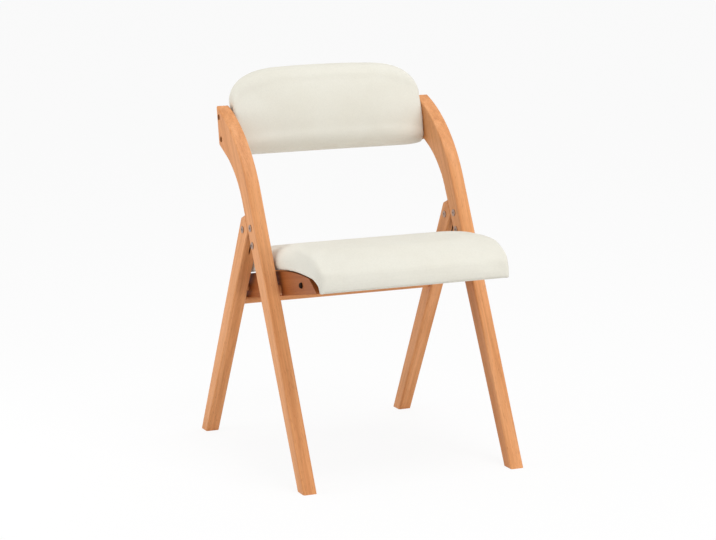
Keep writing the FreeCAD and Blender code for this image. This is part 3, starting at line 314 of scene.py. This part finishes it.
def steel(name, colour, roughness):
    """Plated steel with fine turning marks and painted shade in its recesses."""
    material, tree, shader = new_material(name)
    marks = noise(tree, along_axis(tree, ACROSS, MARK_STRETCH), MARK_SCALE, detail=2.0)
    dull = tuple(MARK_SHADE * part for part in colour)
    base = ramp(tree, marks, ((0.3, dull), (0.7, colour)))
    # Painted shade: darkens screw slots and recesses, and where other parts come close.
    painted_recess_shade = painted_hollow_shade(tree, RECESS_SHADE, RECESS_PAINTED_SHADE_STOPS, own_shape_only=False)
    link(tree, multiplied(tree, 1.0, base, painted_recess_shade), shader.inputs["Base Color"])
    shader.inputs["Metallic"].default_value = 1.0
    shader.inputs["Roughness"].default_value = roughness
    bump(tree, shader, marks, MARK_BUMP, MARK_DEPTH)
    return material


# Plywood of the seat panel and the backrest board

PLY_DARK = (0.42, 0.26, 0.13)
PLY_LIGHT = (0.60, 0.42, 0.24)
PLY_STRETCH = (1.0, 1.0, 0.05)
PLY_SCALE = 120.0
PLY_STOPS = ((0.3, PLY_DARK), (0.7, PLY_LIGHT))
PLY_ROUGHNESS = 0.7
PLY_BUMP = 0.15
PLY_DEPTH = 0.0004


def plywood(name):
    """Plain plywood, seen only from below."""
    material, tree, shader = new_material(name)
    along = along_axis(tree, ACROSS, PLY_STRETCH)
    grain = noise(tree, along, PLY_SCALE, detail=4.0, roughness=0.6, distortion=0.8)
    link(tree, ramp(tree, grain, PLY_STOPS), shader.inputs["Base Color"])
    shader.inputs["Roughness"].default_value = PLY_ROUGHNESS
    bump(tree, shader, grain, PLY_BUMP, PLY_DEPTH)
    return material


# Materials of the CAD nodes


def wear(material, *names):
    """Give CAD nodes a material."""
    for name in names:
        mesh = nodes[name].data
        mesh.materials.clear()
        mesh.materials.append(material)


blackened = steel("blackened_steel", BLACKENED_COLOUR, BLACKENED_ROUGHNESS)
wear(beech("beech_front_legs", FRONT_LEG_AXIS), "front_leg_left", "front_leg_right")
wear(beech("beech_rear_legs", REAR_LEG_AXIS), "rear_leg_left", "rear_leg_right")
# The seat rails get painted shade: their whole colour is darkened.
wear(beech("beech_rails", SEAT_BACKWARDS, RAIL_PAINTED_SHADE), "seat_rail_left", "seat_rail_right")
wear(
    beech("beech_across", ACROSS),
    "front_crossbar",
    "rear_crossbar",
    "seat_front_rail",
    "seat_rear_rail",
    "rail_dowels",
    "seat_pivot_spacers",
)
wear(steel("zinc_plate", ZINC_COLOUR, ZINC_ROUGHNESS), "hinge_plate_left", "hinge_plate_right")
wear(
    steel("plated_steel", PLATED_COLOUR, PLATED_ROUGHNESS),
    "hinge_plate_sleeves",
    "hinge_plate_screws",
    "hinge_pivot_sleeves",
    "hinge_pivot_screws",
    "seat_pivot_bolts",
    "seat_pivot_inserts",
    "seat_panel_screws",
    "backrest_inserts",
)
wear(blackened, "rail_bolts", "rail_barrel_nuts", "backrest_bolts")
wear(plywood("panel_plywood"), "seat_panel", "backrest_board")

# Soft forms: CAD solids joined, remeshed, smoothed and swollen a little as cloth

VOXEL = 0.004
SOFTENING = 0.5
SOFTENING_ROUNDS = 6
SHRINK_REGAINED = 0.0012
PRESSURE = 4.0
SWELL_CAP = 0.004
CLOTH_FRAMES = 20
SETTLING = 0.4
SETTLING_ROUNDS = 3


def evaluated_mesh(obj):
    graph = bpy.context.evaluated_depsgraph_get()
    return bpy.data.meshes.new_from_object(obj.evaluated_get(graph))


def bake(obj):
    """Apply all modifiers of an object to its mesh."""
    bpy.context.view_layer.update()
    mesh = evaluated_mesh(obj)
    obj.modifiers.clear()
    obj.data = mesh


def joined_copy(name, sources):
    """A new object that holds copies of several CAD nodes' meshes."""
    shape = bmesh.new()
    for source in sources:
        shape.from_mesh(nodes[source].data)
    bmesh.ops.remove_doubles(shape, verts=shape.verts, dist=WELD_DISTANCE)
    return put_in_scene(name, mesh_from(shape, name))


def coordinates_of(mesh):
    """The places of a mesh's points, one row each."""
    flat = np.empty(3 * len(mesh.vertices))
    mesh.vertices.foreach_get("co", flat)
    return flat.reshape(-1, 3)


def move_points(mesh, points):
    mesh.vertices.foreach_set("co", points.ravel())
    mesh.update()


def evened(mesh, moves, rounds):
    """Moves of a mesh's points, each drawn towards its neighbours' so that no crease is left."""
    ends = np.empty(2 * len(mesh.edges), dtype=np.int32)
    mesh.edges.foreach_get("vertices", ends)
    first, second = ends.reshape(-1, 2).T
    neighbours = np.bincount(ends, minlength=len(moves))[:, None]
    for _ in range(rounds):
        total = np.zeros_like(moves)
        np.add.at(total, first, moves[second])
        np.add.at(total, second, moves[first])
        moves = 0.5 * moves + 0.5 * total / neighbours
    return moves


def add_cloth(obj, pinned):
    """Cloth under pressure, without gravity, that stays where pinned says so of a point."""
    group = obj.vertex_groups.new(name="pinned")
    held = [vertex.index for vertex in obj.data.vertices if pinned(vertex.co)]
    group.add(held, 1.0, "REPLACE")
    modifier = obj.modifiers.new("cloth", "CLOTH")
    settings = modifier.settings
    settings.quality = 5
    settings.mass = 0.3
    settings.tension_stiffness = 15.0
    settings.compression_stiffness = 15.0
    settings.shear_stiffness = 8.0
    settings.bending_stiffness = 1.0
    settings.use_pressure = True
    settings.uniform_pressure_force = PRESSURE
    settings.effector_weights.gravity = 0.0
    settings.vertex_group_mass = group.name
    modifier.point_cache.frame_start = 1
    modifier.point_cache.frame_end = CLOTH_FRAMES


def inflate(obj, pinned, evening):
    """Swell a closed form as cloth; no point moves further than the cap."""
    start = coordinates_of(obj.data)
    add_cloth(obj, pinned)
    for number in range(1, CLOTH_FRAMES + 1):
        scene.frame_set(number)
    mesh = evaluated_mesh(obj)
    obj.modifiers.clear()
    scene.frame_set(1)
    moves = coordinates_of(mesh) - start
    lengths = np.linalg.norm(moves, axis=1, keepdims=True)
    moves *= np.minimum(1.0, SWELL_CAP / np.maximum(lengths, 1e-9))
    move_points(mesh, start + evened(mesh, moves, evening))
    obj.data = mesh
    obj.vertex_groups.clear()


def add_smoothing(obj, name, factor, rounds):
    smooth = obj.modifiers.new(name, "SMOOTH")
    smooth.factor = factor
    smooth.iterations = rounds


def soft_form(name, sources, pinned, evening):
    """A padded form over CAD nodes: remeshed, softened and swollen."""
    obj = joined_copy(name, sources)
    remesh = obj.modifiers.new("remesh", "REMESH")
    remesh.mode = "VOXEL"
    remesh.voxel_size = VOXEL
    add_smoothing(obj, "soften", SOFTENING, SOFTENING_ROUNDS)
    regain = obj.modifiers.new("regain", "DISPLACE")
    regain.mid_level = 0.0
    regain.strength = SHRINK_REGAINED
    bake(obj)
    inflate(obj, pinned, evening)
    add_smoothing(obj, "settle", SETTLING, SETTLING_ROUNDS)
    bake(obj)
    return obj


def finish_soft(obj, material, body, *replaced):
    """Dress a cover, and say what it rides on and which nodes it stands for."""
    for polygon in obj.data.polygons:
        polygon.use_smooth = True
    obj.data.materials.clear()
    obj.data.materials.append(material)
    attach(obj, body)
    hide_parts(*replaced)


# Seat cover: wraps the bent panel's edges, and is open underneath

SEAT_EVENING = 12
UNDERSIDE_BAND = 0.006
FACING_DOWN = -0.6
OPENING_HALF_WIDTH = 0.200
NOSE_REACH = 0.98 * NOSE_RADIUS
COVER_THICKNESS = 0.002
INWARDS = -1.0


def seat_local(point):
    """How far a point is behind the seat pivot along the seat, and above it."""
    offset = point - SEAT_PIVOT
    return offset.dot(SEAT_BACKWARDS), offset.dot(SEAT_UP)


def underside(along):
    """Height of the seat panel's underside at a place along the seat."""
    if along > BEND_START:
        return PANEL_RISE
    if along > NOSE_START:
        return PANEL_RISE - BEND_RADIUS + math.sqrt(BEND_RADIUS ** 2 - (BEND_START - along) ** 2)
    turn = math.asin((BEND_START - NOSE_START) / BEND_RADIUS)
    centre = NOSE_START + NOSE_RADIUS * math.sin(turn)
    centre_up = PANEL_RISE - BEND_RADIUS + (BEND_RADIUS - NOSE_RADIUS) * math.cos(turn)
    reach = min(centre - along, NOSE_REACH)
    return centre_up + math.sqrt(NOSE_RADIUS ** 2 - reach ** 2)


def near_underside(point):
    along, up = seat_local(point)
    return up < underside(along) + UNDERSIDE_BAND


def open_underneath(obj):
    """Take away the cushion's underside, where the panel shows."""
    shape = bmesh.new()
    shape.from_mesh(obj.data)
    doomed = []
    for face in shape.faces:
        centre = face.calc_center_median()
        faces_down = face.normal.dot(SEAT_UP) < FACING_DOWN
        if faces_down and near_underside(centre) and abs(centre.x) < OPENING_HALF_WIDTH:
            doomed.append(face)
    bmesh.ops.delete(shape, geom=doomed, context="FACES")
    shape.to_mesh(obj.data)
    shape.free()


def make_seat_cover():
    cover = soft_form("seat_cover", ("seat_cushion", "seat_panel"), near_underside, SEAT_EVENING)
    open_underneath(cover)
    cloth = cover.modifiers.new("thickness", "SOLIDIFY")
    cloth.thickness = COVER_THICKNESS
    cloth.offset = INWARDS
    bake(cover)
    material = weave("cover_seat", ACROSS, SEAT_BACKWARDS)
    finish_soft(cover, material, "seat", "seat_cushion")


make_seat_cover()

# Backrest cover: goes round both pads and the board, and is pressed flat against the legs

BACK_EVENING = 60
BACK_HELD_FROM = 0.2045
PRESSED_CLEARANCE = 0.0004
PRESSED_STRETCH = 1.02
LOW_EDGE_RISE = 0.002
LOW_CORNER_START = 0.165
LOW_CORNER_RISE = 0.004


def near_leg(point):
    return abs(point.x) > BACK_HELD_FROM


def pads_box():
    """The two backrest pads' box, made wider at the ends that press against the legs."""
    front_low, front_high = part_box("backrest_pad_front")
    rear_low, rear_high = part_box("backrest_pad_rear")
    low = [min(pair) for pair in zip(front_low, rear_low)]
    high = [max(pair) for pair in zip(front_high, rear_high)]
    low[0] *= PRESSED_STRETCH
    high[0] *= PRESSED_STRETCH
    low[2] += LOW_EDGE_RISE
    return np.array(low), np.array(high)


def fit_box(obj, low, high):
    """Stretch a form a little along each axis, to the box it should fill."""
    points = coordinates_of(obj.data)
    least = points.min(axis=0)
    share = (points - least) / (points.max(axis=0) - least)
    move_points(obj.data, low + share * (high - low))


def shape_ends(obj, low, high):
    """Flatten the ends that meet the legs, and draw the lower corners up."""
    reach = LEG_INNER_FACE - PRESSED_CLEARANCE
    middle = 0.5 * (low[2] + high[2])
    for vertex in obj.data.vertices:
        point = vertex.co
        point.x = max(-reach, min(reach, point.x))
        past = max(0.0, abs(point.x) - LOW_CORNER_START) / (reach - LOW_CORNER_START)
        lowness = max(0.0, (middle - point.z) / (middle - low[2]))
        point.z += LOW_CORNER_RISE * past ** 2 * lowness


def make_back_cover():
    inside = ("backrest_pad_front", "backrest_board", "backrest_pad_rear")
    cover = soft_form("backrest_cover", inside, near_leg, BACK_EVENING)
    low, high = pads_box()
    fit_box(cover, low, high)
    shape_ends(cover, low, high)
    material = weave("cover_back", ACROSS, BACK_UP)
    finish_soft(cover, material, "front_frame", "backrest_pad_front", "backrest_pad_rear")


make_back_cover()

# Dark round caps in the counterbores of the seat rails

CAP_RADIUS = 0.0058
CAP_PROUD = 0.0052
CAP_SUNK = 0.004
CAP_SHOULDER = 0.0012
CAP_STEPS = 6
CAP_SIDES = 28


def cap_outline():
    """Radius and height of the cap's turned outline, from its foot to its crown."""
    outline = [(0.0, -CAP_SUNK), (CAP_RADIUS, -CAP_SUNK), (CAP_RADIUS, CAP_SHOULDER)]
    crown = CAP_PROUD - CAP_SHOULDER
    for step in range(1, CAP_STEPS + 1):
        angle = 0.5 * math.pi * step / CAP_STEPS
        outline.append((CAP_RADIUS * math.cos(angle), CAP_SHOULDER + crown * math.sin(angle)))
    return outline


def turn_cap(shape, centre, side):
    """Turn one cap about a bolt's axis; side is -1 on the left and 1 on the right."""
    rows = []
    for radius, height in cap_outline():
        rows.append(shape.verts.new(centre + Vector((side * height, radius, 0.0))))
    lines = [shape.edges.new(pair) for pair in zip(rows, rows[1:])]
    bmesh.ops.spin(
        shape,
        geom=rows + lines,
        cent=centre,
        axis=ACROSS,
        angle=2.0 * math.pi,
        steps=CAP_SIDES,
    )


def make_rail_caps():
    bolts_low, bolts_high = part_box("rail_bolts")
    middle_y = 0.5 * (bolts_low[1] + bolts_high[1])
    middle_z = 0.5 * (bolts_low[2] + bolts_high[2])
    left_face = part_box("seat_rail_left")[0][0]
    right_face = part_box("seat_rail_right")[1][0]
    shape = bmesh.new()
    turn_cap(shape, Vector((left_face, middle_y, middle_z)), -1.0)
    turn_cap(shape, Vector((right_face, middle_y, middle_z)), 1.0)
    bmesh.ops.remove_doubles(shape, verts=shape.verts, dist=WELD_DISTANCE)
    bmesh.ops.recalc_face_normals(shape, faces=shape.faces)
    caps = put_in_scene("rail_caps", mesh_from(shape, "rail_caps"))
    caps.data.materials.append(blackened)
    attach(caps, "seat")


make_rail_caps()

# Camera at the photo's viewing angle

CAMERA_PLACE = (-1.9584, -4.3523, 1.3063)
CAMERA_DIRECTION = Vector((0.4028, 0.8948, -0.1926))
CAMERA_LENS = 121.2
CAMERA_SENSOR = 36.0
CAMERA_CLIP = 50.0


def make_camera():
    settings = bpy.data.cameras.new("camera")
    settings.sensor_width = CAMERA_SENSOR
    settings.lens = CAMERA_LENS
    settings.clip_end = CAMERA_CLIP
    camera = put_in_scene("camera", settings)
    camera.location = CAMERA_PLACE
    point_along(camera, CAMERA_DIRECTION)
    scene.camera = camera


make_camera()

# Floor and world: white to the camera, with the chair's soft shadow kept on the floor

PURE_WHITE = (1.0, 1.0, 1.0, 1.0)
FLOOR_HALF = 12.0
FLOOR_COLOUR = (0.86, 0.86, 0.86, 1.0)
FLOOR_ROUGHNESS = 0.9
FLOOR_WHITE = 0.90
WORLD_STRENGTH = 0.57


def seen_directly(tree):
    """One for rays from the camera, or ones that a gloss or glass sends on, else nought."""
    path = add(tree, "ShaderNodeLightPath")
    seen = path.outputs["Is Camera Ray"]
    for name in ("Is Glossy Ray", "Is Transmission Ray"):
        seen = combine(tree, "MAXIMUM", seen, path.outputs[name])
    return seen


def white_source(tree, kind):
    """An emission or background of pure white."""
    node = add(tree, kind)
    node.inputs["Color"].default_value = PURE_WHITE
    node.inputs["Strength"].default_value = 1.0
    return node


def mix_at_output(tree, factor, lit, white, output):
    """Put a mix of two shaders on the tree's output."""
    mixer = add(tree, "ShaderNodeMixShader")
    link(tree, factor, mixer.inputs["Fac"])
    link(tree, lit.outputs[0], mixer.inputs[1])
    link(tree, white.outputs[0], mixer.inputs[2])
    link(tree, mixer.outputs[0], tree.nodes[output].inputs["Surface"])


def make_floor():
    mesh = bpy.data.meshes.new("floor")
    corners = [
        (-FLOOR_HALF, -FLOOR_HALF, 0),
        (FLOOR_HALF, -FLOOR_HALF, 0),
        (FLOOR_HALF, FLOOR_HALF, 0),
        (-FLOOR_HALF, FLOOR_HALF, 0),
    ]
    mesh.from_pydata(corners, [], [(0, 1, 2, 3)])
    floor = put_in_scene("floor", mesh)
    material, tree, shader = new_material("pale_floor")
    shader.inputs["Base Color"].default_value = FLOOR_COLOUR
    shader.inputs["Roughness"].default_value = FLOOR_ROUGHNESS
    white = white_source(tree, "ShaderNodeEmission")
    share = add(tree, "ShaderNodeMath", operation="MULTIPLY")
    link(tree, seen_directly(tree), share.inputs[0])
    share.inputs[1].default_value = FLOOR_WHITE
    mix_at_output(tree, share.outputs[0], shader, white, "Material Output")
    mesh.materials.append(material)


def make_world():
    """Even pale light, pure white where the camera or a reflection sees it."""
    world = bpy.data.worlds.new("studio")
    scene.world = world
    world.use_nodes = True
    tree = world.node_tree
    background = tree.nodes["Background"]
    background.inputs["Color"].default_value = PURE_WHITE
    background.inputs["Strength"].default_value = WORLD_STRENGTH
    white = white_source(tree, "ShaderNodeBackground")
    mix_at_output(tree, seen_directly(tree), background, white, "World Output")


make_floor()
make_world()

# Square studio lamps: name, place, power in watts and size, all aimed at the seat

LAMP_TARGET = Vector((0.0, 0.0, 0.45))
LAMPS = (
    ("key", (0.3, -0.9, 3.7), 60.0, 1.6),
    ("fill", (-1.4, 0.3, 0.65), 6.4, 0.9),
    ("side", (1.2, -2.4, 0.55), 18.0, 1.2),
)


def make_lamps():
    for name, place, power, size in LAMPS:
        lamp = bpy.data.lights.new(name, "AREA")
        lamp.energy = power
        lamp.size = size
        obj = put_in_scene(name, lamp)
        obj.location = place
        point_along(obj, LAMP_TARGET - Vector(place))


make_lamps()
